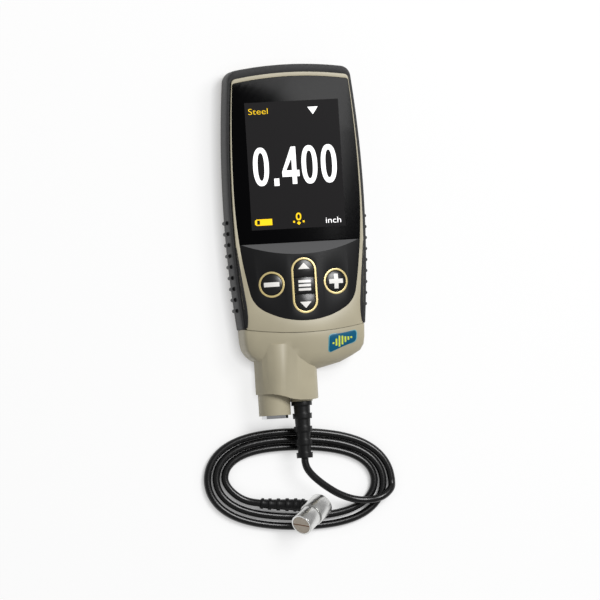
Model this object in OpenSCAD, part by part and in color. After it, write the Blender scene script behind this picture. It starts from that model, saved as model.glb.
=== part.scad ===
// Ultrasonic thickness gauge with a plug-in probe, lying on its back.
// X points right, Y to the top end of the gauge and Z up, out of the display.

/* [Body] */
// Length of gauge and probe together, without the cable
total_length = 167; // [160:0.5:175]
// Length of the gauge body, from its top to the middle of the seam
body_length = 127; // [125:0.5:130]
// Width of the body at its widest
body_width = 66; // [64:0.5:70]
// Height of the keypad's crown above the back
crown_height = 25.4; // [24.8:0.1:27]
// Height of the display plane above the back
display_height = 20; // [19.6:0.1:20.6]
// Distance from the top to the widest place
widest_at = 65; // [58:0.5:70]
// Radius of the long curve of each side
side_radius = 560; // [450:10:700]
// Radius of the arched top end
top_radius = 170; // [140:5:220]
// Radius of the two top corners
corner_radius = 5.5; // [5:0.1:7]
// Radius of the bow in the seam between body and probe
seam_radius = 150; // [140:5:200]
// Radius of the crown across the keypad
crown_radius = 78; // [76:1:82]
// Width of the rounding along the back edge
back_round_width = 3.5; // [2.5:0.1:4.5]
// Height of the rounding along the back edge
back_round_height = 6; // [5:0.1:7]
// Width of the rounding along the front edge
front_round_width = 1.6; // [1.2:0.1:1.9]
// Height of the rounding along the front edge
front_round_height = 5; // [4:0.1:6]
// Height of the parting plane of the two housing halves
parting_height = 11; // [10.6:0.1:11.4]
// Thickness of the housing walls
wall = 1.8; // [1.6:0.1:2]
// Height of the gasket between the housing halves
gasket_height = 0.6; // [0.4:0.1:0.8]
// Gap around pieces that are set into a recess
fit = 0.1; // [0.05:0.01:0.15]

/* [Rubber grip] */
// Thickness of the rubber at the sides
grip_side = 2; // [1.9:0.1:2.4]
// Width of the rubber over the top end
grip_top = 4.1; // [3.6:0.1:4.5]
// Height where the rubber starts above the back
grip_low = 3; // [2.8:0.1:3.6]
// Height where the rubber ends
grip_high = 18.6; // [18:0.1:19]
// Number of grip nubs on each side
nub_count = 9; // [5:1:10]
// Distance between nubs
nub_pitch = 5.2; // [4.5:0.1:5.5]
// Diameter of a nub
nub_diameter = 1.8; // [1.4:0.1:2]
// Length of a nub across the side
nub_length = 8; // [6:0.5:9]
// How far a nub stands out
nub_height = 1.1; // [0.8:0.1:1.2]
// Distance from the top to the first nub
nub_first = 73.5; // [70:0.5:76]

/* [Face] */
// Width of the black face at its widest
face_width = 60.4; // [59:0.2:61]
// Distance from the top to the upper edge of the window
window_top = 6; // [5.7:0.1:6.4]
// Distance from the top to the straight lower edge of the window
window_bottom = 84.4; // [83.5:0.1:85]
// Thickness of the window
window_thickness = 1.5; // [1.2:0.1:1.6]
// How far the window lies below the rim
window_sink = 0.2; // [0.1:0.05:0.3]
// Length of the slope from the window up to the keypad's crown
slope_length = 5.8; // [5:0.1:7]
// Distance from the top to the lower edge of the keypad
keypad_bottom = 121.5; // [120.5:0.1:122]
// Radius of the keypad's lower edge
keypad_bottom_radius = 38; // [35:0.5:42]
// Radius of the keypad's lower corners
keypad_corner_radius = 13; // [11:0.5:15]
// Thickness of the keypad's fascia
fascia_thickness = 1.6; // [1.4:0.1:1.8]
// How far the fascia lies below the rim
fascia_sink = 0.15; // [0.1:0.05:0.25]
// Width of the ledge that carries window and fascia
ledge = 2.4; // [2.2:0.1:2.6]

/* [Keys] */
// Distance from the top to the middle of the round keys
round_key_at = 103.9; // [103:0.1:105]
// Distance of each round key from the middle, along the crown
round_key_side = 15.5; // [15:0.1:16.2]
// Diameter of a round key
round_key_diameter = 9.8; // [9:0.1:10]
// Distance from the top to the middle of the three centre keys
centre_key_at = 105.1; // [104.5:0.1:105.5]
// Length of the row of centre keys
centre_key_length = 23.8; // [23:0.1:24.2]
// Width of the centre keys
centre_key_width = 9.6; // [9:0.1:9.8]
// Gap around each key
key_gap = 0.3; // [0.3:0.01:0.4]
// Width of the gold ring around the keys
ring_width = 0.9; // [0.7:0.1:1]
// How far a key stands out of the fascia
key_height = 0.5; // [0.4:0.1:0.8]
// Radius of a key's domed top
key_dome_radius = 18; // [14:1:30]
// Travel of a key
key_travel = 0.8; // [0.6:0.05:0.9]
// Thickness of the flange under each key
key_flange = 0.8; // [0.6:0.1:0.9]
// Gap between a key's flange and the fascia
flange_gap = 0.55; // [0.5:0.05:0.6]
// Height of the tactile switches
switch_height = 4; // [3.6:0.1:4.2]
// Width of the tactile switches
switch_width = 5; // [4.5:0.1:5.4]

/* [Inside] */
// Distance from the body's widest side to the display panel
panel_side = 8; // [7.8:0.1:9]
// Length of the display panel
panel_length = 66; // [64:0.5:67]
// Distance from the top to the middle of the display panel
panel_at = 47.9; // [47.4:0.1:48.4]
// Height of the circuit board's underside above the back
board_height = 14; // [13.9:0.1:14.2]
// Thickness of the circuit board
board_thickness = 1.2; // [1:0.1:1.3]
// Diameter of a battery
cell_diameter = 10.5; // [10:0.1:10.5]
// Length of a battery without its cap
cell_length = 43.7; // [43:0.1:44]
// Distance between the middles of two batteries
cell_pitch = 11.2; // [10.9:0.1:11.5]
// Distance from the top to the middle of the batteries
cell_at = 45; // [43:0.5:47]
// Space for the springs behind the batteries
spring_space = 4.5; // [4:0.1:5]
// Thickness of the battery door
door_thickness = 1.2; // [1:0.1:1.3]
// Overlap of the battery door over its ledge
door_overlap = 3; // [2.6:0.1:3.4]
// How far the battery door lies above the back plane
door_sink = 0.2; // [0.1:0.05:0.3]
// Thickness of the battery door's seal
door_seal = 0.4; // [0.3:0.05:0.5]
// Diameter of the housing screws
screw_diameter = 2.4; // [2:0.1:2.6]
// Diameter of the housing screws' heads
screw_head = 4.6; // [4:0.1:5]
// Diameter of the door screws' heads
door_screw_head = 2.8; // [2.4:0.1:3]
// Height of the housing screws' seats above the back
screw_seat = 3; // [2.8:0.1:3.4]
// Diameter of the screw posts
post_diameter = 7; // [6.4:0.1:7.4]
// Distance of the upper screw posts from the top
post_top = 10.4; // [10.2:0.1:11]
// Distance of the lower screw posts from the seam
post_seam = 9.5; // [9:0.1:10]
// Distance of the screw posts' middles from the side walls
post_inset = 3.6; // [3.5:0.1:4]
// Distance of the board screws' middles from the side walls
board_screw_inset = 2; // [1.9:0.05:2.1]
// Reach of the battery door's screws behind the door
door_screw_reach = 4; // [3.6:0.1:4.2]
// Diameter of the board's screws
board_screw_diameter = 1.6; // [1.4:0.1:1.8]

/* [Probe] */
// Width of the probe's neck
neck_width = 30; // [28:0.5:31]
// Depth of the probe's neck
neck_depth = 22.6; // [22:0.1:23]
// Distance of the neck's middle to the left
neck_left = 9; // [8:0.5:10]
// Share of the probe's length that its cap takes
cap_share = 0.44; // [0.42:0.01:0.45]
// Distance from the neck's end to the board in the probe
probe_board_back = 7; // [6.5:0.1:7.5]
// Distance from the neck's side to the board in the probe
probe_board_side = 4; // [4:0.1:5]
// Distance from the neck's end, on its middle, to the zero plate's face
neck_short = 10.8; // [10.2:0.1:11.6]
// Diameter of the stub that carries the zero plate
stub_diameter = 15.1; // [14:0.1:15.4]
// Distance of the stub's middle to the left
stub_left = 15.4; // [15:0.1:15.8]
// How far the zero plate stands out of the stub
zero_plate_height = 1.5; // [1:0.1:2]
// Thickness of the zero plate
zero_plate_thickness = 3; // [2.5:0.1:4]
// Diameter of the zero plate
zero_plate_diameter = 12.6; // [12:0.1:13]
// Height of the probe's middle line above the back
probe_axis = 12.2; // [12:0.1:12.4]
// Width of the plug
plug_width = 24; // [22:0.5:25]
// Height of the plug
plug_height = 9; // [8:0.5:9.5]
// How far the plug reaches into the gauge
plug_reach = 7; // [6:0.5:8]
// Gap around the plug in its socket
plug_gap = 0.3; // [0.3:0.05:0.4]
// Gap between probe and gauge along the seam
seam_gap = 0.15; // [0.1:0.05:0.3]
// Thickness of the plate that closes the probe
plate_thickness = 2; // [1.8:0.1:2.5]
// Number of contacts in the plug
contact_count = 6; // [4:1:6]

/* [Cable] */
// Diameter of the cable
cable_diameter = 3.5; // [3:0.1:3.5]
// Distance of the cable's exit to the left
exit_left = 2.3; // [2.1:0.1:2.5]
// Distance from the start of the strain relief to the zero plate's face
relief_short = 7.5; // [7.2:0.1:8]
// Diameter of the strain relief's flange
relief_flange = 9.8; // [9:0.1:10.2]
// Diameter of the strain relief's core at its start
relief_core = 8; // [7.6:0.1:8.4]
// Diameter of the strain relief's core at its end
relief_tip = 6; // [5.6:0.1:6.4]
// Height of the strain relief's ribs
relief_rib = 0.8; // [0.5:0.1:1]
// Number of ribs after the flange
relief_ribs = 4; // [3:1:5]
// Distance between ribs
relief_pitch = 6.2; // [5.5:0.1:6.4]
// Width of a rib
relief_rib_width = 2.6; // [2:0.1:3]

/* [Transducer] */
// Length of the transducer
transducer_length = 19; // [17:0.5:19.5]
// Diameter of its rear case
rear_diameter = 11.6; // [11:0.1:12]
// Diameter of its front sleeve
front_diameter = 10.6; // [10:0.1:11]
// Length of the rear case
rear_length = 9.5; // [9:0.1:10]
// Wall thickness of case and sleeve
case_wall = 0.9; // [0.8:0.05:1]
// Thickness of the barrier between the two delay blocks
barrier_thickness = 0.6; // [0.5:0.05:0.8]
// Thickness of the crystals
crystal_thickness = 0.5; // [0.4:0.1:0.8]
// Length of the delay blocks
delay_length = 8; // [7:0.5:9]

/* [Hidden] */
$fn = 48;

// Heights along Y, from distances to the top end
top_y = total_length / 2;
seam_y = top_y - body_length;
widest_y = top_y - widest_at;
window_low_y = top_y - window_bottom;
slope_end_y = window_low_y - slope_length;
keys_y = top_y - round_key_at;
centre_y = top_y - centre_key_at;
panel_y = top_y - panel_at;
panel_width = body_width - 2 * panel_side;
cell_y = top_y - cell_at;
probe_end_y = -total_length / 2;
outline_low_y = seam_y - 8;

// Heights along Z
crown_z = crown_height - crown_radius;
window_z = display_height - window_sink - window_thickness;
ledge_z = window_z - wall + 0.2;
fascia_low = window_z - 1;
fascia_radius = crown_radius - fascia_sink;
fascia_inner = fascia_radius - fascia_thickness;
hump_inner = fascia_inner - wall;
board_top = board_height + board_thickness;
front_low = parting_height + gasket_height;
key_angle = asin(round_key_side / crown_radius);

function unit(v) = v / norm(v);

// Crossing point of two circles, on the side that s names
function meet(c1, r1, c2, r2, s) =
  let (v = c2 - c1, d = norm(v), a = (r1 * r1 - r2 * r2 + d * d) / (2 * d))
  let (h = sqrt(max(0, r1 * r1 - a * a)))
  c1 + v * a / d + s * h * [v[1], -v[0]] / d;

// Points of an arc around c from angle a0 to a1
function arc(c, r, a0, a1, n) =
  [for (i = [0:n]) c + r * [cos(a0 + (a1 - a0) * i / n), sin(a0 + (a1 - a0) * i / n)]];

function heading(c, p) = atan2(p[1] - c[1], p[0] - c[0]);

// Right half of an outline with its mirror image
function both_sides(half) =
  concat(half, [for (i = [len(half) - 1:-1:0]) if (half[i][0] > 0.01) [-half[i][0], half[i][1]]]);

side_centre = [body_width / 2 - side_radius, widest_y];
top_centre = [0, top_y - top_radius];

// Right half of the body's outline, set in by given amounts
function body_half(side_in, top_in, corner) =
  let (rs = side_radius - side_in, rt = top_radius - top_in)
  let (cf = meet(side_centre, rs - corner, top_centre, rt - corner, -1))
  concat(
    arc(side_centre, rs, asin((outline_low_y - widest_y) / rs), heading(side_centre, cf), 20),
    arc(cf, corner, heading(side_centre, cf), heading(top_centre, cf), 6),
    arc(top_centre, rt, heading(top_centre, cf), 90, 8));

// Half width of the body at a height along Y
function side_x(y) = side_centre[0] + sqrt(side_radius * side_radius - pow(y - widest_y, 2));

module body_outline(side_in, top_in, corner) {
  polygon(both_sides(body_half(side_in, top_in, corner)));
}

// Rounded edge of the body: pairs of height and inset, from the back to the front
edge_profile = concat(
  [for (a = [0:22.5:90]) [back_round_height * (1 - cos(a)), back_round_width * (1 - sin(a))]],
  [for (a = [0:30:90]) [display_height - front_round_height * (1 - sin(a)),
    front_round_width * (1 - cos(a))]]);

// Solid between rows of points that lie above each other, each row counter-clockwise from above
module loft(rows) {
  n = len(rows[0]);
  last = len(rows) - 1;
  walls = [for (i = [0:last - 1], j = [0:n - 1])
    let (k = (j + 1) % n, a = i * n, b = a + n)
    each [[a + j, b + j, b + k], [a + j, b + k, a + k]]];
  ends = [[for (j = [0:n - 1]) j], [for (j = [n - 1:-1:0]) last * n + j]];
  polyhedron(points = [for (row = rows) each row], faces = concat(walls, ends));
}

// Whole body with rounded edges, up to the display plane
module envelope() {
  loft([for (p = edge_profile)
    [for (v = both_sides(body_half(p[1], p[1], corner_radius - p[1]))) [v[0], v[1], p[0]]]]);
}

// Body's core inside the rubber, set in further by a given amount
module core(inset, low, high) {
  translate([0, 0, low])
    linear_extrude(high - low)
      body_outline(grip_side + inset, grip_top + inset, max(2.2 - inset / 2, 1));
}

// Everything on the gauge's side of the seam
module seam_side(inset) {
  translate([0, seam_y + seam_radius, -1])
    cylinder(r = seam_radius - inset, h = crown_height + 2, $fn = 180);
}

// Solid under the crown of the keypad, with a given radius
module crown(radius) {
  translate([0, top_y, crown_z])
    rotate([90, 0, 0])
      cylinder(r = radius, h = total_length, $fn = 180);
}

// Solid below the slope from window to crown, lowered by a given amount
module slope_side(drop) {
  rise = crown_height - display_height;
  shift = drop * norm([rise, slope_length]) / rise;
  far_y = seam_y - 20;
  rotate([90, 0, 90])
    translate([0, 0, -body_width])
      linear_extrude(2 * body_width)
        polygon([[window_low_y - shift, display_height], [slope_end_y - shift, crown_height],
          [slope_end_y - shift - slope_length, crown_height + rise], [far_y, crown_height + rise],
          [far_y, 0], [window_low_y - shift, 0]]);
}

// Right half of the black face's outline, grown by a given amount
face_x = face_width / 2;
face_y = top_y - 60;
face_low_radius = 240;
function face_half(grow) =
  let (cu = [face_x - side_radius, face_y], cl = [face_x - face_low_radius, face_y])
  let (ru = side_radius + grow, rl = face_low_radius + grow)
  let (rt = top_radius - window_top + grow, rb = keypad_bottom_radius + grow)
  let (cb = [0, top_y - keypad_bottom + keypad_bottom_radius])
  let (cf = max(1.2 + grow, 0.4), kf = keypad_corner_radius + grow)
  let (tf = meet(cu, ru - cf, top_centre, rt - cf, -1), bf = meet(cl, rl - kf, cb, rb - kf, 1))
  concat(
    arc(cb, rb, -90, heading(cb, bf), 8),
    arc(bf, kf, heading(cb, bf), heading(cl, bf), 10),
    arc(cl, rl, heading(cl, bf), 0, 10),
    arc(cu, ru, 1, heading(cu, tf), 10),
    arc(tf, cf, heading(cu, tf), heading(top_centre, tf), 4),
    arc(top_centre, rt, heading(top_centre, tf), 90, 6));

module face_outline(grow) {
  polygon(both_sides(face_half(grow)));
}

// Part of the face above or below the window's lower edge
module window_outline(grow) {
  intersection() {
    face_outline(grow);
    translate([-body_width, window_low_y - grow]) square([2 * body_width, body_length]);
  }
}

module keypad_outline(grow) {
  intersection() {
    face_outline(grow);
    translate([-body_width, window_low_y - body_length]) square([2 * body_width, body_length]);
  }
}

// Places of screws in the housing and in the board
function beside_wall(s, y, inset) = [s * (side_x(y) - grip_side - wall - inset), y];
post_places = [for (s = [-1, 1], y = [top_y - post_top, seam_y + post_seam]) beside_wall(s, y, post_inset)];
board_screw_places = [for (s = [-1, 1], share = [0.12, -0.335]) let (y = panel_y + share * panel_length)
  beside_wall(s, y, board_screw_inset)];

module at_each(places) {
  for (p = places) translate([p[0], p[1], 0]) children();
}

// Outer form of the front half: display plane, slope and crowned keypad
module front_form() {
  intersection() {
    core(0, front_low, crown_height + 1);
    seam_side(0);
    union() {
      translate([-body_width, -total_length, 0])
        cube([2 * body_width, 2 * total_length, display_height]);
      intersection() {
        crown(crown_radius);
        slope_side(0);
      }
    }
  }
}

// Opening in the end wall for the plug
module plug_opening(gap) {
  translate([-plug_width / 2 - gap, seam_y - 1, probe_axis - plug_height / 2 - gap])
    cube([plug_width + 2 * gap, plug_reach + 4, plug_height + 2 * gap]);
}

module front_housing() color([0.70, 0.67, 0.58]) {
  difference() {
    union() {
      difference() {
        front_form();
        intersection() {
          core(wall, 0, ledge_z);
          seam_side(wall);
        }
        intersection() {
          core(wall, 0, crown_height);
          seam_side(wall);
          crown(hump_inner);
          slope_side(fascia_thickness + wall);
        }
      }
      at_each(post_places)
        translate([0, 0, front_low]) cylinder(d = post_diameter, h = ledge_z - front_low + 0.4);
      at_each(board_screw_places)
        translate([0, 0, board_top])
          cylinder(d = 2.4 * board_screw_diameter, h = ledge_z - board_top + 0.4);
    }
    // Recess and opening for the window
    translate([0, 0, window_z]) linear_extrude(10) window_outline(fit);
    translate([-panel_width / 2 - fit, panel_y - panel_length / 2 - fit, board_top])
      cube([panel_width + 2 * fit, panel_length + 2 * fit, 10]);
    // Recess and opening for the fascia
    difference() {
      translate([0, 0, fascia_low - fit]) linear_extrude(20) keypad_outline(fit);
      intersection() {
        crown(fascia_inner);
        slope_side(fascia_thickness);
      }
    }
    translate([0, 0, front_low])
      linear_extrude(20)
        intersection() {
          keypad_outline(-ledge);
          translate([-body_width, slope_end_y - body_length]) square([2 * body_width, body_length]);
        }
    at_each(post_places)
      translate([0, 0, front_low - 1])
        cylinder(d = screw_diameter + 0.04, h = ledge_z - front_low + 0.2);
    at_each(board_screw_places)
      translate([0, 0, board_top - 1])
        cylinder(d = board_screw_diameter + 0.04, h = ledge_z - board_top + 1.6);
    plug_opening(plug_gap);
  }
}

// Battery compartment: inner size, and the tray around it
tray_width = 3 * cell_pitch;
tray_length = cell_length + spring_space + 1.8;
tray_ceiling = board_height - 0.4;
tray_wall = 1.3;
door_width = tray_width + 2 * door_overlap;
door_length = tray_length + 2 * door_overlap;
door_z = door_sink + door_thickness;
door_ledge = door_z + door_seal;
cell_z = door_z + 0.5 + cell_diameter / 2;

module slab(width, length, low, high) {
  translate([-width / 2, cell_y - length / 2, low]) cube([width, length, high - low]);
}

door_screw_places = [for (s = [-1, 1]) [0, cell_y + s * (tray_length / 2 + door_overlap - 1.4 - 0.3)]];

module rear_housing() color([0.68, 0.65, 0.56]) {
  difference() {
    union() {
      difference() {
        intersection() {
          union() {
            intersection() {
              envelope();
              translate([-body_width, -total_length, -1])
                cube([2 * body_width, 2 * total_length, grip_low + 1]);
            }
            core(0, grip_low - 1, parting_height);
          }
          seam_side(0);
        }
        intersection() {
          core(wall, wall, parting_height + 1);
          seam_side(wall);
        }
      }
      at_each(post_places) cylinder(d = post_diameter, h = parting_height);
      slab(door_width + 2 * tray_wall, door_length + 2 * tray_wall, door_ledge - 0.2, door_ledge + 1.4);
      slab(tray_width + 2 * tray_wall, tray_length + 2 * tray_wall, door_ledge, tray_ceiling);
      at_each(door_screw_places) cylinder(d = 4, h = door_ledge + door_screw_reach + 1);
    }
    slab(tray_width, tray_length, -1, tray_ceiling - 0.7);
    slab(door_width + 2 * fit, door_length + 2 * fit, -1, door_ledge);
    at_each(door_screw_places) cylinder(d = board_screw_diameter + 0.04, h = door_ledge + door_screw_reach);
    at_each(post_places) {
      translate([0, 0, -1]) cylinder(d = screw_head + 0.4, h = screw_seat + 1);
      cylinder(d = screw_diameter + 0.2, h = parting_height + 1);
    }
    plug_opening(plug_gap);
  }
}

module rubber_grip() color([0.16, 0.16, 0.17]) {
  difference() {
    union() {
      intersection() {
        envelope();
        seam_side(0);
        translate([-body_width, -total_length, grip_low])
          cube([2 * body_width, 2 * total_length, grip_high - grip_low]);
      }
      for (s = [-1, 1], i = [0:nub_count - 1]) {
        y = top_y - nub_first - i * nub_pitch;
        translate([s * (side_x(y) - nub_diameter / 2 + nub_height), y, parting_height - 1 - nub_length / 2])
          cylinder(d = nub_diameter, h = nub_length, $fn = 24);
      }
    }
    core(0, 0, crown_height);
  }
}

module housing_gasket() color([0.22, 0.22, 0.24]) {
  difference() {
    intersection() {
      core(0.3, parting_height, front_low);
      seam_side(0.3);
    }
    intersection() {
      core(1.3, 0, crown_height);
      seam_side(1.3);
    }
    plug_opening(plug_gap);
  }
}

module display_window() color([0.05, 0.05, 0.06]) {
  translate([0, 0, window_z]) linear_extrude(window_thickness) window_outline(0);
}

module display_panel() color([0.25, 0.27, 0.30]) {
  translate([-panel_width / 2, panel_y - panel_length / 2, board_top])
    cube([panel_width, panel_length, window_z - board_top - fit]);
}

// Places a piece on the crown: angle across it and height along Y, with local Z outward
module on_crown(angle, y) {
  translate([0, y, crown_z]) rotate([0, angle, 0]) children();
}

module pill(length, width) {
  square([width, length - width], center = true);
  for (s = [-1, 1]) translate([0, s * (length - width) / 2]) circle(d = width);
}

// Space of all keys, grown by a given amount, between two radii of the crown
module key_space(grow, low, high) {
  for (s = [-1, 1])
    on_crown(s * key_angle, keys_y)
      translate([0, 0, low]) cylinder(d = round_key_diameter + 2 * grow, h = high - low);
  on_crown(0, centre_y)
    translate([0, 0, low])
      linear_extrude(high - low) pill(centre_key_length + 2 * grow, centre_key_width + 2 * grow);
}

ring_depth = 0.3;
ring_proud = 0.1;

module keypad_fascia() color([0.14, 0.14, 0.15]) {
  difference() {
    intersection() {
      translate([0, 0, fascia_low]) linear_extrude(20) keypad_outline(0);
      crown(fascia_radius);
      slope_side(fascia_sink / 2);
    }
    intersection() {
      crown(fascia_inner);
      slope_side(fascia_thickness);
    }
    key_space(key_gap, hump_inner - 4, crown_radius + 4);
    difference() {
      key_space(key_gap + ring_width, hump_inner, crown_radius + 4);
      crown(fascia_radius - ring_depth);
    }
  }
}

module key_rings() color([0.80, 0.70, 0.42]) {
  difference() {
    intersection() {
      key_space(key_gap + ring_width, hump_inner, crown_radius + 4);
      crown(fascia_radius + ring_proud);
    }
    crown(fascia_radius - ring_depth);
    key_space(key_gap, hump_inner - 4, crown_radius + 4);
  }
}

// Radii along a key: underside of its flange, and crown of its dome
flange_top = fascia_inner - flange_gap;
flange_low = flange_top - key_flange;
key_top = fascia_radius + key_height;
switch_top = board_top + switch_height;

// Domed solid that trims a key's top, around its middle
module key_dome() {
  translate([0, 0, key_top - key_dome_radius]) sphere(r = key_dome_radius, $fn = 96);
}

// One round key: cap, flange and plunger down to its switch
module round_key(side) {
  on_crown(side * key_angle, keys_y) {
    intersection() {
      translate([0, 0, flange_low]) cylinder(d = round_key_diameter, h = key_top - flange_low);
      key_dome();
    }
    translate([0, 0, flange_low]) cylinder(d = round_key_diameter + 1.6, h = key_flange);
    plunger = (switch_top + key_travel + 0.3 - crown_z) / cos(key_angle);
    translate([0, 0, plunger]) cylinder(d = 3, h = flange_low - plunger + 0.2);
  }
}

// Outline of one centre key: -1 the lower one, 0 the middle one, 1 the upper one
split = centre_key_length / 6;
module centre_outline(place, grow) {
  intersection() {
    pill(centre_key_length + 2 * grow, centre_key_width + 2 * grow);
    if (place == 0) square([2 * centre_key_width, 2 * split - key_gap], center = true);
    if (place != 0)
      translate([0, place * (split + centre_key_length / 2 + key_gap / 2)])
        square([2 * centre_key_width, centre_key_length], center = true);
  }
}

module centre_key(place) {
  middle = place * centre_key_length / 3;
  on_crown(0, centre_y) {
    intersection() {
      translate([0, 0, flange_low]) linear_extrude(key_top - flange_low) centre_outline(place, 0);
      translate([0, middle, 0]) key_dome();
    }
    translate([0, 0, flange_low]) linear_extrude(key_flange) centre_outline(place, 0.8);
    plunger = switch_top + key_travel + 0.15 - crown_z;
    translate([0, middle, plunger]) cylinder(d = 3, h = flange_low - plunger + 0.2);
  }
}

module minus_key() color([0.07, 0.07, 0.08]) round_key(-1);
module plus_key() color([0.07, 0.07, 0.08]) round_key(1);
module up_key() color([0.07, 0.07, 0.08]) centre_key(1);
module menu_key() color([0.07, 0.07, 0.08]) centre_key(0);
module down_key() color([0.07, 0.07, 0.08]) centre_key(-1);

// Middles of the switches under the keys
plunger_x = (switch_top + key_travel - crown_z) * tan(key_angle);
switch_places = concat(
  [for (s = [-1, 1]) [s * plunger_x, keys_y]],
  [for (s = [-1:1]) [0, centre_y + s * centre_key_length / 3]]);

module key_switches() color([0.35, 0.36, 0.38]) {
  at_each(switch_places) {
    translate([-switch_width / 2, -switch_width / 2, board_top])
      cube([switch_width, switch_width, switch_height - 1]);
    translate([0, 0, board_top]) cylinder(d = 3, h = switch_height);
  }
}

module main_board() color([0.10, 0.35, 0.20]) {
  difference() {
    intersection() {
      core(wall + 0.5, board_height, board_top);
      seam_side(wall + plug_reach + 2);
    }
    at_each(post_places) cylinder(d = post_diameter + 0.6, h = crown_height);
    at_each(board_screw_places) cylinder(d = board_screw_diameter + 0.2, h = crown_height);
  }
}

// Chips on the underside of the board, below the batteries' tray
module board_chips() color([0.10, 0.10, 0.11]) {
  chip_y = cell_y - tray_length / 2 - tray_wall - 0.14 * body_width;
  // Middle and size of each chip, as shares of the body's width
  chips = [[-0.18, 0, 0.15, 0.15], [0.05, 0.02, 0.12, 0.12], [0.21, -0.03, 0.09, 0.14],
    [-0.06, -0.24, 0.18, 0.11], [0.18, -0.26, 0.14, 0.09]];
  for (chip = chips) {
    c = chip * body_width;
    translate([c[0] - c[2] / 2, chip_y + c[1] - c[3] / 2, board_height - 1.4])
      cube([c[2], c[3], 1.4]);
  }
}

module board_screws() color([0.75, 0.75, 0.77]) {
  at_each(board_screw_places) {
    translate([0, 0, board_height - 1.2]) cylinder(d = 1.9 * board_screw_diameter, h = 1.2);
    translate([0, 0, board_height - 0.2]) cylinder(d = board_screw_diameter, h = ledge_z - board_height);
  }
}

module housing_screws() color([0.75, 0.75, 0.77]) {
  at_each(post_places)
    difference() {
      union() {
        translate([0, 0, screw_seat - 2]) cylinder(d = screw_head, h = 2);
        translate([0, 0, screw_seat - 0.5]) cylinder(d = screw_diameter, h = ledge_z - screw_seat - 0.7);
      }
      for (a = [0, 90]) rotate(a) translate([-1.3, -0.3, 0]) cube([2.6, 0.6, screw_seat - 0.8]);
    }
}

// One battery with its cap, along Y
module battery(place) {
  translate([place * cell_pitch, cell_y - tray_length / 2 + spring_space + 0.4, cell_z])
    rotate([-90, 0, 0]) {
      cylinder(d = cell_diameter, h = cell_length);
      cylinder(d = 3.8, h = cell_length + 0.8);
    }
}

module battery_left() color([0.55, 0.42, 0.24]) battery(-1);
module battery_middle() color([0.55, 0.42, 0.24]) battery(0);
module battery_right() color([0.55, 0.42, 0.24]) battery(1);

// Cone springs at the lower ends of the batteries
module battery_springs() color([0.80, 0.80, 0.82]) {
  turns = 4;
  step = (spring_space - 0.1) / turns;
  wide = 0.34 * cell_diameter;
  for (place = [-1:1])
    translate([place * cell_pitch, cell_y - tray_length / 2 + 0.5, cell_z])
      rotate([-90, 0, 0])
        rotate_extrude()
          polygon(concat(
            [for (i = [0:2 * turns]) [wide - 0.14 * i + (i % 2) * 0.4, i * (step - 0.02) / 2]],
            [for (i = [2 * turns:-1:0])
              [wide - 0.6 - 0.14 * i + (i % 2) * 0.4, i * (step - 0.02) / 2]]));
}

// Sheet metal contacts at both ends of the compartment
module battery_contacts() color([0.78, 0.76, 0.66]) {
  for (place = [-1:1], s = [-1, 1])
    translate([place * cell_pitch, cell_y + s * (tray_length / 2 - 0.25), cell_z])
      cube([0.76 * cell_diameter, 0.5, 0.8 * cell_diameter], center = true);
}

module battery_door() color([0.68, 0.65, 0.56]) {
  difference() {
    slab(door_width, door_length, door_sink, door_z);
    at_each(door_screw_places) {
      cylinder(d = board_screw_diameter + 0.2, h = door_z + 1);
      cylinder(d = door_screw_head + 0.2, h = door_sink + 0.7);
    }
    // Finger groove across the door
    translate([0, cell_y - door_length / 4, door_sink - 7.4])
      rotate([0, 90, 0]) cylinder(r = 8, h = 16, center = true);
  }
}

module door_seal_ring() color([0.20, 0.20, 0.22]) {
  difference() {
    slab(door_width - 0.6, door_length - 0.6, door_z, door_ledge);
    slab(tray_width + 0.6, tray_length + 0.6, 0, door_ledge + 1);
    at_each(door_screw_places) cylinder(d = board_screw_diameter + 0.3, h = door_ledge + 1);
  }
}

module door_screws() color([0.75, 0.75, 0.77]) {
  at_each(door_screw_places)
    difference() {
      union() {
        translate([0, 0, door_sink + 0.1]) cylinder(d = door_screw_head, h = 0.6);
        translate([0, 0, door_sink + 0.2])
          cylinder(d = board_screw_diameter, h = door_ledge + door_screw_reach - 0.6);
      }
      translate([-0.25, -door_screw_head, 0]) cube([0.5, 2 * door_screw_head, door_sink + 0.4]);
    }
}

// Socket behind the end wall, with its pins
socket_wall = 1.2;
socket_floor_y = seam_y + plug_reach + 0.6;
module probe_socket() color([0.12, 0.12, 0.13]) {
  half_width = plug_width / 2 + plug_gap;
  half_height = plug_height / 2 + plug_gap;
  difference() {
    intersection() {
      translate([-half_width - socket_wall, seam_y, probe_axis - half_height - 0.6])
        cube([2 * half_width + 2 * socket_wall, plug_reach + 2.4, 2 * half_height + 1.2]);
      seam_side(wall + 0.05);
    }
    translate([-half_width, seam_y - 1, probe_axis - half_height])
      cube([2 * half_width, socket_floor_y - seam_y + 1, 2 * half_height]);
    at_contacts(socket_floor_y - 1) cylinder(d = 1.1, h = 5);
  }
}

// Places of the contacts across the plug
module at_contacts(y) {
  for (i = [0:contact_count - 1])
    translate([(i - (contact_count - 1) / 2) * plug_width / (contact_count + 1), y, probe_axis])
      rotate([-90, 0, 0]) children();
}

module socket_pins() color([0.83, 0.70, 0.35]) {
  at_contacts(seam_y + plug_reach + 0.1) cylinder(d = 1, h = 3.6, $fn = 24);
}

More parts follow.
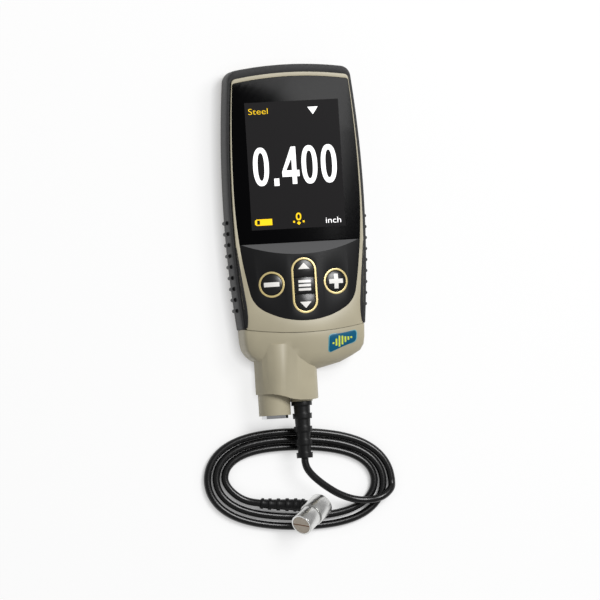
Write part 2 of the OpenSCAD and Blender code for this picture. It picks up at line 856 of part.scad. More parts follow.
// Half profile of the body's cross section near the seam, mapped to a given box
seam_half = side_x(seam_y);
function section_half(width, low, high) =
  let (k = (high - low) / crown_height, w = width / seam_half)
  let (side = [for (p = edge_profile) [w * (seam_half - p[1]), low + k * p[0]]])
  let (a0 = asin((seam_half - front_round_width - 0.1) / crown_radius))
  concat(side, [for (i = [1:8]) let (a = a0 * (8 - i) / 8)
    [w * crown_radius * sin(a), low + k * (crown_z + crown_radius * cos(a))]]);

// Cross section of the probe's cap, as a thin slice at a height along Y
module cap_slice(y, left, right, low, high) {
  r = section_half(right, low, high);
  l = section_half(left, low, high);
  translate([0, y, 0])
    rotate([90, 0, 0])
      linear_extrude(0.01)
        polygon(concat(r, [for (i = [len(l) - 2:-1:0]) [-l[i][0], l[i][1]]]));
}

neck_y = probe_end_y + neck_short;
neck_x = -neck_left;

// Section of the neck, fuller at the left: share of its width, then share of its half depth
neck_section = [[0, 0], [0.04, 0.3], [0.09, 0.55], [0.17, 0.77], [0.24, 0.92], [0.31, 0.985], [0.4, 1],
  [0.5, 0.975], [0.6, 0.91], [0.72, 0.79], [0.83, 0.64], [0.93, 0.45], [0.98, 0.24], [1, 0]];

module neck_outline(inset) {
  last = len(neck_section) - 1;
  function at(i, side) = [neck_x + (neck_section[i][0] - 0.5) * (neck_width - 2 * inset),
    probe_axis + side * neck_section[i][1] * (neck_depth / 2 - inset)];
  polygon(concat([for (i = [0:last]) at(i, -1)], [for (i = [last - 1:-1:1]) at(i, 1)]));
}

// Curved end of the neck: share of its width from the left, then how far the end lies above its middle
neck_end = [[0, 0.9], [0.2, 0.9], [0.33, 0.1], [0.43, -0.9], [0.53, -1.9], [0.65, -2.5], [0.85, -2.7],
  [0.96, -2.3], [1, -1.6]];

module neck(inset, start, shorten) {
  left = neck_x - neck_width / 2;
  intersection() {
    translate([0, start, 0])
      rotate([90, 0, 0])
        linear_extrude(start - probe_end_y) neck_outline(inset);
    translate([0, 0, -1])
      linear_extrude(crown_height + 2)
        polygon(concat([[left, start]],
          [for (e = neck_end) [left + e[0] * neck_width, neck_y + e[1] + shorten]],
          [[left + neck_width, start]]));
  }
}

// Cylinder along the probe, between two heights along Y
module along(x, d, from, to) {
  translate([x, from, probe_axis]) rotate([90, 0, 0]) cylinder(d = d, h = from - to);
}

stub_end_y = probe_end_y + zero_plate_height;
plate_seat_y = probe_end_y + zero_plate_thickness;
relief_y = probe_end_y + relief_short;
plate_y = seam_y - 2;

// Inside of the probe's cap
module cap_room(inset) {
  right = section_half(seam_half - 4 - inset, 2.2 + inset, crown_height - 4 - inset);
  left = section_half(seam_half - 3.4 - inset, 2.2 + inset, crown_height - 4 - inset);
  polygon(concat(right, [for (i = [len(left) - 2:-1:0]) [-left[i][0], left[i][1]]]));
}

// Slices of the cap: share of its length, then what is taken off at left, right, back and front
cap_length = cap_share * (total_length - body_length);
plate_depth = seam_y - plate_y + plate_thickness;
cap_slices = [[0.2, 0.4, 0.3, 0, 1], [0.4, 1.1, 0.8, 0.3, 2.05], [0.56, 2.8, 2.6, 0.9, 2.9],
  [0.69, 5.4, 6.6, 1.9, 3.8], [0.85, 12, 12.6, 4, 5.8]];

module probe_housing() color([0.70, 0.67, 0.58]) {
  difference() {
    union() {
      difference() {
        hull() {
          cap_slice(seam_y + 6, seam_half, seam_half, 0, crown_height);
          for (c = cap_slices)
            cap_slice(seam_y - c[0] * cap_length, seam_half - c[1], seam_half - c[2], c[3],
              crown_height - c[4]);
          cap_slice(seam_y - cap_length, neck_left, neck_width / 2 - neck_left, 8, crown_height - 10);
        }
        translate([0, seam_y + seam_radius, -1])
          cylinder(r = seam_radius + seam_gap, h = crown_height + 2, $fn = 180);
        translate([0, seam_y + 8, 0])
          rotate([90, 0, 0]) linear_extrude(8 + plate_depth + 0.1 * cap_length) cap_room(0);
      }
      neck(0, seam_y - plate_depth - 1, 0);
      along(-stub_left, stub_diameter, neck_y + 8, stub_end_y);
      along(-exit_left, relief_flange + 0.8, neck_y + 6, relief_y);
    }
    neck(2.2, seam_y - 0.2 * cap_length, 3);
    along(-stub_left, zero_plate_diameter + 2 * fit, plate_seat_y, stub_end_y - 1);
    along(-exit_left, relief_core - 2, neck_y + neck_short, relief_y - 1);
  }
}

// Plate that closes the probe, with its plug
module probe_plate() color([0.15, 0.15, 0.16]) {
  translate([0, plate_y, 0]) rotate([90, 0, 0]) linear_extrude(plate_thickness) cap_room(fit);
  translate([-plug_width / 2, plate_y - 0.5, probe_axis - plug_height / 2])
    cube([plug_width, seam_y + plug_reach - plate_y + 0.2, plug_height]);
}

module plug_contacts() color([0.83, 0.70, 0.35]) {
  at_contacts(seam_y + plug_reach - 0.3) cylinder(d = 2, h = 0.3);
}

module probe_board() color([0.10, 0.35, 0.20]) {
  low_y = neck_y + probe_board_back;
  board_half = neck_width / 2 - probe_board_side;
  translate([neck_x - board_half, low_y, probe_axis - 0.6])
    cube([2 * board_half, plate_y - plate_thickness - low_y, 1.2]);
}

module zero_plate() color([0.80, 0.81, 0.83]) {
  along(-stub_left, zero_plate_diameter, plate_seat_y, probe_end_y);
}

relief_length = 2 + relief_ribs * relief_pitch;
relief_end_y = relief_y - relief_length;
function core_r(s) = (relief_core + (relief_tip - relief_core) * s / relief_length) / 2;

// Ribbed strain relief on the probe
module probe_relief() color([0.10, 0.10, 0.11]) {
  translate([-exit_left, relief_y, probe_axis])
    rotate([90, 0, 0]) {
      rotate_extrude()
        polygon(concat(
          [[0, 0], [relief_flange / 2, 0], [relief_flange / 2, 2], [core_r(2), 2]],
          [for (i = [1:relief_ribs], e = [0:3])
            let (s = 2 + i * relief_pitch - relief_rib_width + (e > 1 ? relief_rib_width : 0))
            [core_r(s) + (e == 1 || e == 2 ? relief_rib : 0), s]],
          [[0, relief_length]]));
      translate([0, 0, -4]) cylinder(d = relief_core - 2 - 2 * fit, h = 4.2);
    }
}

// Turns of the cable: an oval spiral on the floor, from the outer turn inward
coil_middle = [-4.4, -113.9];
coil_half_length = 45.6;
coil_half_width = 24.6;
coil_step = [4.2, 4.1];
coil_drift = 0.5;
coil_fullness = 0.2;
coil_tilt = -4;
cable_floor = 1.8;
function coil_point(q) =
  let (a = coil_half_length - coil_step[0] * q / 360, b = coil_half_width - coil_step[1] * q / 360)
  let (x = a * cos(q), y = b * sin(q) * (1 + coil_fullness * cos(q) * cos(q)))
  [coil_middle[0] + x * cos(coil_tilt) - y * sin(coil_tilt),
   coil_middle[1] + coil_drift * q / 360 + x * sin(coil_tilt) + y * cos(coil_tilt), cable_floor];

// Resting place of the transducer: rear rim on the cable, held by its strain relief, face tilted up
tilt_up = 36;
plan_angle = 216;
rest_point = [2.4, -127.3, 2.8];
face_axis = [cos(tilt_up) * cos(plan_angle), cos(tilt_up) * sin(plan_angle), sin(tilt_up)];
belly_up = [-sin(tilt_up) * cos(plan_angle), -sin(tilt_up) * sin(plan_angle), cos(tilt_up)];
rear_middle = rest_point + belly_up * rear_diameter / 2;
exit_plan = 156;
exit_flat = [cos(exit_plan), sin(exit_plan), 0];
exit_axis = unit(exit_flat - [0, 0, 1] * (exit_flat * face_axis) / face_axis[2]);
cross_axis = cross(face_axis, exit_axis);
exit_height = 5;
barrier_turn = 10;

// Curved way of the transducer's strain relief, from 0 at the case to 1 at the cable
relief_from = rear_middle + face_axis * exit_height + exit_axis * (rear_diameter / 2 - 0.3);
relief_to = [-23.4, -122.9, 2.8];
relief_to_axis = unit([-1, 0.25, -0.12]);
function relief_way(s) =
  let (p = relief_from, a = p + exit_axis * 5, d = relief_to, c = d - relief_to_axis * 6)
  p * pow(1 - s, 3) + a * 3 * s * pow(1 - s, 2) + c * 3 * s * s * (1 - s) + d * pow(s, 3);

// Way of the cable from the strain relief, over the inner turns, to the outer turn
lead_points = [[-1.5, -107.6, 12], [0.4, -110.4, 11.4], [3.6, -113.6, 10.6], [8.2, -117.2, 9.4],
  [14, -120.8, 7.8], [21, -123.6, 6.4], [28, -124.6, 5.9], [34.5, -123.6, 6], [39.4, -120.6, 4]];
tail_points = [[-38.4, -113.8, 1.8], [-36, -117, 1.8], [-32.6, -119.8, 1.8], [-28.4, -121.8, 2]];
cable_way = concat(
  [[-exit_left, relief_end_y, probe_axis], [-exit_left, relief_end_y - 2, probe_axis]],
  lead_points, [for (q = [0:15:900]) coil_point(q)], tail_points, [relief_way(1)]);

// Direction of a row of points at one of them
function direction(way, i) = unit(way[min(i + 1, len(way) - 1)] - way[max(i - 1, 0)]);

// Round tube along a row of points, with a radius at each point
module tube(way, radii, sides) {
  n = len(way);
  rings = [for (i = [0:n - 1])
    let (t = direction(way, i), s = unit(cross(t, [0, 0, 1])), u = cross(s, t))
    for (j = [0:sides - 1])
      way[i] + radii[i] * (cos(360 * j / sides) * s + sin(360 * j / sides) * u)];
  walls = [for (i = [0:n - 2], j = [0:sides - 1])
    let (k = (j + 1) % sides, a = i * sides, b = a + sides)
    each [[a + j, a + k, b + j], [a + k, b + k, b + j]]];
  ends = [[for (j = [sides - 1:-1:0]) j], [for (j = [0:sides - 1]) (n - 1) * sides + j]];
  polyhedron(points = rings, faces = [for (f = concat(walls, ends)) [for (i = [len(f) - 1:-1:0]) f[i]]]);
}

module cable() color([0.06, 0.06, 0.07]) {
  tube(cable_way, [for (p = cable_way) cable_diameter / 2], 8);
}

// Local frame of the transducer: Z to its face, X along its cable
module in_transducer() {
  multmatrix([
    [exit_axis[0], cross_axis[0], face_axis[0], rear_middle[0]],
    [exit_axis[1], cross_axis[1], face_axis[1], rear_middle[1]],
    [exit_axis[2], cross_axis[2], face_axis[2], rear_middle[2]],
    [0, 0, 0, 1]])
    children();
}

// Ribs of the transducer's strain relief
small_ribs = 6;
module transducer_relief() color([0.10, 0.10, 0.11]) {
  edges = [0, 0.02, 0.4, 0.42];
  ribs = [for (i = [1:small_ribs], e = edges) (i - 0.55 + e) / small_ribs];
  marks = concat([0], ribs, [1]);
  way = [for (m = marks) relief_way(m)];
  radii = concat([3.1], [for (i = [1:small_ribs], e = [0:3])
    3.05 - 0.16 * i + (e == 1 || e == 2 ? 0.5 : 0)], [2.1]);
  tube(way, radii, 12);
}

module transducer_case() color([0.78, 0.79, 0.80]) {
  in_transducer()
    difference() {
      cylinder(d = rear_diameter, h = rear_length);
      translate([0, 0, 1.2]) cylinder(d = rear_diameter - 2 * case_wall, h = rear_length);
      translate([0, 0, exit_height]) rotate([0, 90, 0]) cylinder(d = 6.6, h = rear_diameter);
    }
}

sleeve_start = rear_length - 3;
module transducer_sleeve() color([0.80, 0.81, 0.82]) {
  inner = front_diameter - 2 * case_wall;
  in_transducer()
    difference() {
      union() {
        translate([0, 0, rear_length])
          cylinder(d = front_diameter, h = transducer_length - rear_length);
        translate([0, 0, sleeve_start])
          cylinder(d = rear_diameter - 2 * case_wall, h = rear_length - sleeve_start);
      }
      translate([0, 0, sleeve_start - 1]) cylinder(d = inner, h = transducer_length);
    }
}

// One of two half discs beside the barrier
module half_disc(side, low, high) {
  inner = front_diameter - 2 * case_wall;
  in_transducer()
    intersection() {
      translate([0, 0, low]) cylinder(d = inner, h = high - low);
      rotate(barrier_turn)
        translate([0, side * (rear_diameter + barrier_thickness) / 2, transducer_length])
          cube([2 * rear_diameter, rear_diameter, 2 * transducer_length], center = true);
    }
}

delay_low = transducer_length - delay_length;
module transmit_delay() color([0.62, 0.58, 0.50]) half_disc(1, delay_low, transducer_length);
module receive_delay() color([0.62, 0.58, 0.50]) half_disc(-1, delay_low, transducer_length);
module transmit_crystal() color([0.85, 0.84, 0.78]) half_disc(1, delay_low - crystal_thickness, delay_low);
module receive_crystal() color([0.85, 0.84, 0.78]) half_disc(-1, delay_low - crystal_thickness, delay_low);

module sound_barrier() color([0.42, 0.27, 0.16]) {
  inner = front_diameter - 2 * case_wall;
  in_transducer()
    intersection() {
      translate([0, 0, delay_low - crystal_thickness])
        cylinder(d = inner, h = delay_length + crystal_thickness);
      rotate(barrier_turn)
        translate([-rear_diameter, -barrier_thickness / 2, 0])
          cube([2 * rear_diameter, barrier_thickness, 2 * transducer_length]);
    }
}

module backing_block() color([0.20, 0.20, 0.21]) {
  inner = front_diameter - 2 * case_wall;
  in_transducer()
    translate([0, 0, sleeve_start]) cylinder(d = inner, h = delay_low - crystal_thickness - sleeve_start);
}

front_housing();
rear_housing();
rubber_grip();
housing_gasket();
display_window();
display_panel();
keypad_fascia();
key_rings();
minus_key();
plus_key();
up_key();
menu_key();
down_key();
key_switches();
main_board();
board_chips();
board_screws();
housing_screws();
battery_left();
battery_middle();
battery_right();
battery_springs();
battery_contacts();
battery_door();
door_seal_ring();
door_screws();
probe_socket();
socket_pins();
probe_housing();
probe_plate();
plug_contacts();
probe_board();
zero_plate();
probe_relief();
cable();
transducer_relief();
transducer_case();
transducer_sleeve();
transmit_delay();
receive_delay();
sound_barrier();
transmit_crystal();
receive_crystal();
backing_block();
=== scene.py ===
"""Looks of an ultrasonic thickness gauge, lying on its back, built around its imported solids."""

import math

import bmesh
import bpy
from mathutils import Matrix, Vector
from mathutils.bvhtree import BVHTree


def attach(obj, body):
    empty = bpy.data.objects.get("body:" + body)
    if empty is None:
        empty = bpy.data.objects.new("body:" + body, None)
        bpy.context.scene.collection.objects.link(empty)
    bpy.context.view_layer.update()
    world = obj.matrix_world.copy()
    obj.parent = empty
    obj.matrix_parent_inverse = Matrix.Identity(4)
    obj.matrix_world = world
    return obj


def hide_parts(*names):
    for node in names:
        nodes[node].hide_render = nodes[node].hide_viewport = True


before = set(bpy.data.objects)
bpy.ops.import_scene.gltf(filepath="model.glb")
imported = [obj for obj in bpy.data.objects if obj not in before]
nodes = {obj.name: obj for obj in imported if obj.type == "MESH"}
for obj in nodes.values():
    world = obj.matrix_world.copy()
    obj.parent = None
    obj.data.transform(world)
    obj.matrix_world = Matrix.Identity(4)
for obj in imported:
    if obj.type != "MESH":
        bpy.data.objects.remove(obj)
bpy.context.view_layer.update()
scene = bpy.context.scene
scene.view_settings.view_transform = "Standard"
MM = 0.001


def mm(*numbers):
    """A point or size given in millimetres, in metres."""
    return Vector([n * MM for n in numbers])


# Camera: above the gauge and a little to its left, rolled as in the photograph
VIEW_YAW = math.radians(11.5)
VIEW_PITCH = math.radians(1.0)
VIEW_ROLL = math.radians(3.5)
VIEW_DISTANCE = 3.0
VIEW_WIDTH = 0.283
VIEW_TARGET = mm(-1.6, -28.3, 20)


def make_camera():
    away = Vector((
        -math.sin(VIEW_YAW) * math.cos(VIEW_PITCH),
        -math.sin(VIEW_PITCH),
        math.cos(VIEW_YAW) * math.cos(VIEW_PITCH),
    ))
    flat_right = Vector((0, 1, 0)).cross(away).normalized()
    flat_up = away.cross(flat_right)
    right = flat_right * math.cos(VIEW_ROLL) - flat_up * math.sin(VIEW_ROLL)
    up = flat_up * math.cos(VIEW_ROLL) + flat_right * math.sin(VIEW_ROLL)
    data = bpy.data.cameras.new("camera")
    data.sensor_width = 36
    data.lens = 36 * VIEW_DISTANCE / VIEW_WIDTH
    camera = bpy.data.objects.new("camera", data)
    scene.collection.objects.link(camera)
    turn = Matrix((right, up, away)).transposed()
    camera.matrix_world = Matrix.Translation(VIEW_TARGET + away * VIEW_DISTANCE) @ turn.to_4x4()
    scene.camera = camera


make_camera()


# Cable: the same points as the solid's route, in millimetres
COIL_MIDDLE = (-4.4, -113.9)
COIL_HALF = (45.6, 24.6)
COIL_STEP = (4.2, 4.1)
COIL_DRIFT = 0.5
COIL_FULLNESS = 0.2
COIL_TILT = math.radians(-4)
COIL_SWEEP = 900
COIL_STRIDE = 15
CABLE_FLOOR = 1.8
CABLE_DIAMETER = 3.5
CABLE_SMOOTHING = 4
LEAD_POINTS = [
    (-2.3, -102.8, 12.2), (-2.3, -104.8, 12.2), (-1.5, -107.6, 12), (0.4, -110.4, 11.4),
    (3.6, -113.6, 10.6), (8.2, -117.2, 9.4), (14, -120.8, 7.8), (21, -123.6, 6.4),
    (28, -124.6, 5.9), (34.5, -123.6, 6), (39.4, -120.6, 4),
]
TAIL_POINTS = [
    (-38.4, -113.8, 1.8), (-36, -117, 1.8), (-32.6, -119.8, 1.8), (-28.4, -121.8, 2),
    (-23.4, -122.9, 2.8),
]


def coil_point(degrees):
    q = math.radians(degrees)
    turns = degrees / 360
    x = (COIL_HALF[0] - COIL_STEP[0] * turns) * math.cos(q)
    y = (COIL_HALF[1] - COIL_STEP[1] * turns) * math.sin(q) * (1 + COIL_FULLNESS * math.cos(q) ** 2)
    return (
        COIL_MIDDLE[0] + x * math.cos(COIL_TILT) - y * math.sin(COIL_TILT),
        COIL_MIDDLE[1] + COIL_DRIFT * turns + x * math.sin(COIL_TILT) + y * math.cos(COIL_TILT),
        CABLE_FLOOR,
    )


def between(points, steps):
    """Points on a smooth curve through the given ones."""
    smooth = []
    for i in range(len(points) - 1):
        p0 = points[max(i - 1, 0)]
        p1, p2 = points[i], points[i + 1]
        p3 = points[min(i + 2, len(points) - 1)]
        for k in range(steps):
            t = k / steps
            smooth.append(0.5 * (
                2 * p1 + (p2 - p0) * t + (2 * p0 - 5 * p1 + 4 * p2 - p3) * t ** 2
                + (3 * p1 - p0 - 3 * p2 + p3) * t ** 3))
    return smooth + [points[-1]]


def make_cable():
    coil = [coil_point(q) for q in range(0, COIL_SWEEP + 1, COIL_STRIDE)]
    route = LEAD_POINTS + coil + TAIL_POINTS
    line = between([mm(*p) for p in route], CABLE_SMOOTHING)
    for place in line:
        place.z = max(place.z, CABLE_FLOOR * MM)
    data = bpy.data.curves.new("coiled_cable", "CURVE")
    data.dimensions = "3D"
    data.bevel_depth = CABLE_DIAMETER * MM / 2
    data.bevel_resolution = 5
    data.use_fill_caps = True
    spline = data.splines.new("POLY")
    spline.points.add(len(line) - 1)
    for point, place in zip(spline.points, line):
        point.co = (*place, 1)
    spline.use_smooth = True
    curve = bpy.data.objects.new("cable_line", data)
    mesh = bpy.data.meshes.new_from_object(curve)
    mesh.name = "coiled_cable"
    bpy.data.objects.remove(curve)
    cable = bpy.data.objects.new("coiled_cable", mesh)
    scene.collection.objects.link(cable)
    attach(cable, "probe")
    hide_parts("cable")
    return cable


cable = make_cable()


# Materials
def node_material(name):
    material = bpy.data.materials.new(name)
    material.use_nodes = True
    tree = material.node_tree
    return material, tree.nodes, tree.links, tree.nodes["Principled BSDF"]


def noise(tree_nodes, links, coords, scale, detail=2.0):
    texture = tree_nodes.new("ShaderNodeTexNoise")
    texture.inputs["Scale"].default_value = scale
    texture.inputs["Detail"].default_value = detail
    links.new(coords, texture.inputs["Vector"])
    return texture.outputs["Fac"]


def ramp(tree_nodes, links, factor, low, high):
    """Colours from low to high as the factor goes through its middle range."""
    colours = tree_nodes.new("ShaderNodeValToRGB")
    colours.color_ramp.elements[0].position = 0.3
    colours.color_ramp.elements[1].position = 0.7
    colours.color_ramp.elements[0].color = (*low, 1)
    colours.color_ramp.elements[1].color = (*high, 1)
    links.new(factor, colours.inputs["Fac"])
    return colours.outputs["Color"]


def spread(tree_nodes, links, factor, low, high):
    """A number from low to high as the factor goes through its middle range."""
    scale = tree_nodes.new("ShaderNodeMapRange")
    scale.inputs["From Min"].default_value = 0.3
    scale.inputs["From Max"].default_value = 0.7
    scale.inputs["To Min"].default_value = low
    scale.inputs["To Max"].default_value = high
    links.new(factor, scale.inputs["Value"])
    return scale.outputs["Result"]


def relief(tree_nodes, links, height, depth, shader):
    bump = tree_nodes.new("ShaderNodeBump")
    bump.inputs["Strength"].default_value = 1.0
    bump.inputs["Distance"].default_value = depth
    links.new(height, bump.inputs["Height"])
    links.new(bump.outputs["Normal"], shader.inputs["Normal"])


def linear(colour):
    """A colour given from 0 to 255, as the shader wants it."""
    return tuple(
        c / 255 / 12.92 if c <= 10 else ((c / 255 + 0.055) / 1.055) ** 2.4 for c in colour)


def moulded(name, colour, vary=0.06, rough=0.45, sheen=0.06, grain=0.35, depth=0.02, cloud=18.0,
            **sockets):
    """Moulded plastic or rubber: cloudy tone, changing gloss and a fine grain. Sizes in millimetres."""
    material, tree_nodes, links, shader = node_material(name)
    coords = tree_nodes.new("ShaderNodeTexCoord").outputs["Object"]
    base = linear(colour)
    tone = noise(tree_nodes, links, coords, 1 / (cloud * MM), 3.0)
    low = [c * (1 - vary) for c in base]
    high = [c * (1 + vary) for c in base]
    links.new(ramp(tree_nodes, links, tone, low, high), shader.inputs["Base Color"])
    speck = noise(tree_nodes, links, coords, 1 / (grain * MM), 2.0)
    links.new(spread(tree_nodes, links, speck, rough - sheen, rough + sheen), shader.inputs["Roughness"])
    relief(tree_nodes, links, speck, depth * MM, shader)
    for socket, value in sockets.items():
        shader.inputs[socket.replace("_", " ")].default_value = value
    return material


def painted_facing_light(material, way, limits, colour):
    """Painted light: another tone where a moulded surface faces the given way, standing in for the light
    that falls from that side.
    """
    tree_nodes, links = material.node_tree.nodes, material.node_tree.links
    shader = tree_nodes["Principled BSDF"]
    plain = shader.inputs["Base Color"].links[0].from_socket
    facing = tree_nodes.new("ShaderNodeVectorMath")
    facing.operation = "DOT_PRODUCT"
    facing.inputs[1].default_value = way
    links.new(tree_nodes.new("ShaderNodeTexCoord").outputs["Normal"], facing.inputs[0])
    share = tree_nodes.new("ShaderNodeMapRange")
    share.inputs["From Min"].default_value = limits[0]
    share.inputs["From Max"].default_value = limits[1]
    links.new(facing.outputs["Value"], share.inputs["Value"])
    blend = tree_nodes.new("ShaderNodeMix")
    blend.data_type = "RGBA"
    blend.inputs["B"].default_value = (*linear(colour), 1)
    links.new(share.outputs["Result"], blend.inputs["Factor"])
    links.new(plain, blend.inputs["A"])
    links.new(blend.outputs["Result"], shader.inputs["Base Color"])


def turned_metal(name, colour, axis, rough=0.2, pitch=0.25, depth=0.004):
    """Metal with fine turning marks across the given axis."""
    material, tree_nodes, links, shader = node_material(name)
    coords = tree_nodes.new("ShaderNodeTexCoord").outputs["Object"]
    along = tree_nodes.new("ShaderNodeVectorMath")
    along.operation = "DOT_PRODUCT"
    along.inputs[1].default_value = axis
    links.new(coords, along.inputs[0])
    marks = tree_nodes.new("ShaderNodeTexNoise")
    marks.noise_dimensions = "1D"
    marks.inputs["Scale"].default_value = 1 / (pitch * MM)
    marks.inputs["Detail"].default_value = 3.0
    links.new(along.outputs["Value"], marks.inputs["W"])
    base = linear(colour)
    cloud = noise(tree_nodes, links, coords, 400, 3.0)
    tones = ramp(tree_nodes, links, cloud, [c * 0.93 for c in base], base)
    links.new(tones, shader.inputs["Base Color"])
    links.new(spread(tree_nodes, links, marks.outputs["Fac"], rough * 0.7, rough * 1.3),
              shader.inputs["Roughness"])
    relief(tree_nodes, links, marks.outputs["Fac"], depth * MM, shader)
    shader.inputs["Metallic"].default_value = 1.0
    return material


def shining(name, colour, strength):
    """A lit field of the display, with its faint pixel grid."""
    material, tree_nodes, links, shader = node_material(name)
    coords = tree_nodes.new("ShaderNodeTexCoord").outputs["Object"]
    grid = tree_nodes.new("ShaderNodeTexChecker")
    grid.inputs["Scale"].default_value = 1 / (0.3 * MM)
    base = linear(colour)
    grid.inputs["Color1"].default_value = (*base, 1)
    grid.inputs["Color2"].default_value = (*[c * 0.94 for c in base], 1)
    links.new(coords, grid.inputs["Vector"])
    links.new(grid.outputs["Color"], shader.inputs["Base Color"])
    links.new(grid.outputs["Color"], shader.inputs["Emission Color"])
    shader.inputs["Emission Strength"].default_value = strength
    shader.inputs["Roughness"].default_value = 0.35
    shader.inputs["Specular IOR Level"].default_value = 0.04
    return material


FACE_AXIS = (-0.6545085, -0.4755283, 0.5877853)
BEIGE = (174, 166, 142)
beige = moulded("beige_plastic", BEIGE, rough=0.42, grain=0.3, depth=0.012)
rubber = moulded("grip_rubber", (29, 29, 30), vary=0.1, rough=0.48, grain=0.45, depth=0.012,
                 Specular_IOR_Level=0.25)
seal = moulded("seal_rubber", (48, 48, 50), rough=0.6)
glass = moulded("window_black", (3, 3, 4), vary=0.1, rough=0.16, sheen=0.01, grain=2.0, depth=0.0002,
                cloud=40.0, Specular_IOR_Level=0.06)
charcoal = moulded("fascia_black", (23, 23, 24), vary=0.08, rough=0.44, grain=0.4, depth=0.005,
                   Specular_IOR_Level=0.15)
# Painted light: the fascia's crescent slope, which faces +Y towards the lamp, is painted a lighter grey.
painted_facing_light(charcoal, (0, 1, 0), (0.25, 0.5), (92, 92, 93))
gold = moulded("ring_gold", (220, 200, 140), vary=0.08, rough=0.3, grain=0.6, depth=0.004, Metallic=0.35)
key_black = moulded("key_black", (12, 12, 13), vary=0.1, rough=0.3, sheen=0.03, grain=1.2, depth=0.001)
mark_white = moulded("mark_white", (238, 236, 232), vary=0.02, rough=0.4, grain=0.4, depth=0.004)
inner_black = moulded("inner_black", (38, 38, 40), rough=0.5)
board_green = moulded("board_green", (34, 96, 58), vary=0.12, rough=0.35, grain=1.5)
chip_black = moulded("chip_black", (30, 30, 32), rough=0.5)
cell_copper = moulded("cell_copper", (150, 108, 62), vary=0.1, rough=0.28, Metallic=0.5)
brass = turned_metal("contact_brass", (222, 188, 110), (0, 1, 0))
screw_steel = turned_metal("screw_steel", (196, 196, 200), (0, 0, 1), rough=0.3)
plate_steel = turned_metal("zero_plate_steel", (214, 215, 218), (0, 1, 0), rough=0.14)
case_steel = turned_metal("transducer_steel", (226, 226, 224), FACE_AXIS, rough=0.27, depth=0.0015)
relief_black = moulded("relief_rubber", (17, 17, 18), vary=0.1, rough=0.4, sheen=0.03, grain=0.5,
                       depth=0.003, Specular_IOR_Level=0.3)
jacket = moulded("cable_jacket", (5, 5, 6), vary=0.12, rough=0.28, sheen=0.03, grain=0.8, depth=0.002,
                 Specular_IOR_Level=0.5)
delay = moulded("delay_plastic", (196, 184, 168), vary=0.05, rough=0.5, grain=0.3, depth=0.008)
barrier = moulded("barrier_cork", (120, 78, 48), vary=0.2, rough=0.7, grain=0.25, depth=0.02)
ceramic = moulded("crystal_ceramic", (218, 214, 198), rough=0.6)
panel_grey = moulded("panel_grey", (70, 74, 80), rough=0.3)

NODE_LOOKS = {
    beige: ["front_housing", "rear_housing", "battery_door", "probe_housing"],
    rubber: ["rubber_grip"],
    seal: ["housing_gasket", "door_seal_ring"],
    glass: ["display_window"],
    panel_grey: ["display_panel", "key_switches"],
    charcoal: ["keypad_fascia"],
    gold: ["key_rings"],
    key_black: ["minus_key", "plus_key", "up_key", "menu_key", "down_key"],
    inner_black: ["probe_socket", "probe_plate", "backing_block"],
    board_green: ["main_board", "probe_board"],
    chip_black: ["board_chips"],
    cell_copper: ["battery_left", "battery_middle", "battery_right"],
    brass: ["socket_pins", "plug_contacts"],
    screw_steel: ["board_screws", "housing_screws", "door_screws", "battery_springs",
                  "battery_contacts"],
    plate_steel: ["zero_plate"],
    case_steel: ["transducer_case", "transducer_sleeve"],
    relief_black: ["probe_relief", "transducer_relief"],
    delay: ["transmit_delay", "receive_delay"],
    barrier: ["sound_barrier"],
    ceramic: ["transmit_crystal", "receive_crystal"],
}


def smoothing(angle):
    """Geometry nodes that shade smooth across edges below the given angle."""
    group = bpy.data.node_groups.new("smooth_edges", "GeometryNodeTree")
    group.interface.new_socket("Geometry", in_out="INPUT", socket_type="NodeSocketGeometry")
    group.interface.new_socket("Geometry", in_out="OUTPUT", socket_type="NodeSocketGeometry")
    start = group.nodes.new("NodeGroupInput")
    end = group.nodes.new("NodeGroupOutput")
    bend = group.nodes.new("GeometryNodeInputMeshEdgeAngle")
    low = group.nodes.new("FunctionNodeCompare")
    low.operation = "LESS_EQUAL"
    low.inputs[1].default_value = angle
    faces = group.nodes.new("GeometryNodeSetShadeSmooth")
    edges = group.nodes.new("GeometryNodeSetShadeSmooth")
    edges.domain = "EDGE"
    group.links.new(bend.outputs[0], low.inputs[0])
    group.links.new(start.outputs[0], faces.inputs[0])
    group.links.new(faces.outputs[0], edges.inputs[0])
    group.links.new(low.outputs[0], edges.inputs["Shade Smooth"])
    group.links.new(edges.outputs[0], end.inputs[0])
    return group


smooth_edges = smoothing(math.radians(32))
EDGE_ROUNDS = {
    "front_housing": 0.2, "rear_housing": 0.3, "rubber_grip": 0.35, "display_window": 0.12,
    "keypad_fascia": 0.15, "key_rings": 0.06, "battery_door": 0.25, "probe_housing": 0.25,
    "zero_plate": 0.25, "probe_relief": 0.3, "transducer_relief": 0.12, "transducer_case": 0.25,
    "transducer_sleeve": 0.2, "housing_screws": 0.15, "door_screws": 0.06, "minus_key": 0.2,
    "plus_key": 0.2, "up_key": 0.2, "menu_key": 0.2, "down_key": 0.2,
}


def dress(name, material):
    node = nodes[name]
    node.data.materials.clear()
    node.data.materials.append(material)
    if "custom_normal" in node.data.attributes:
        node.data.attributes.remove(node.data.attributes["custom_normal"])
    weld = node.modifiers.new("weld", "WELD")
    weld.merge_threshold = 0.004 * MM
    if name in EDGE_ROUNDS:
        edge = node.modifiers.new("edge_round", "BEVEL")
        edge.width = EDGE_ROUNDS[name] * MM
        edge.segments = 3
        edge.limit_method = "ANGLE"
        edge.angle_limit = math.radians(40)
        edge.use_clamp_overlap = True
    shade = node.modifiers.new("smooth_edges", "NODES")
    shade.node_group = smooth_edges


for look, names in NODE_LOOKS.items():
    for node_name in names:
        dress(node_name, look)
cable.data.materials.append(jacket)


# Pieces on the display, the keys and the probe
def add_piece(name, mesh, material, body):
    piece = bpy.data.objects.new(name, mesh)
    scene.collection.objects.link(piece)
    mesh.materials.append(material)
    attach(piece, body)
    return piece


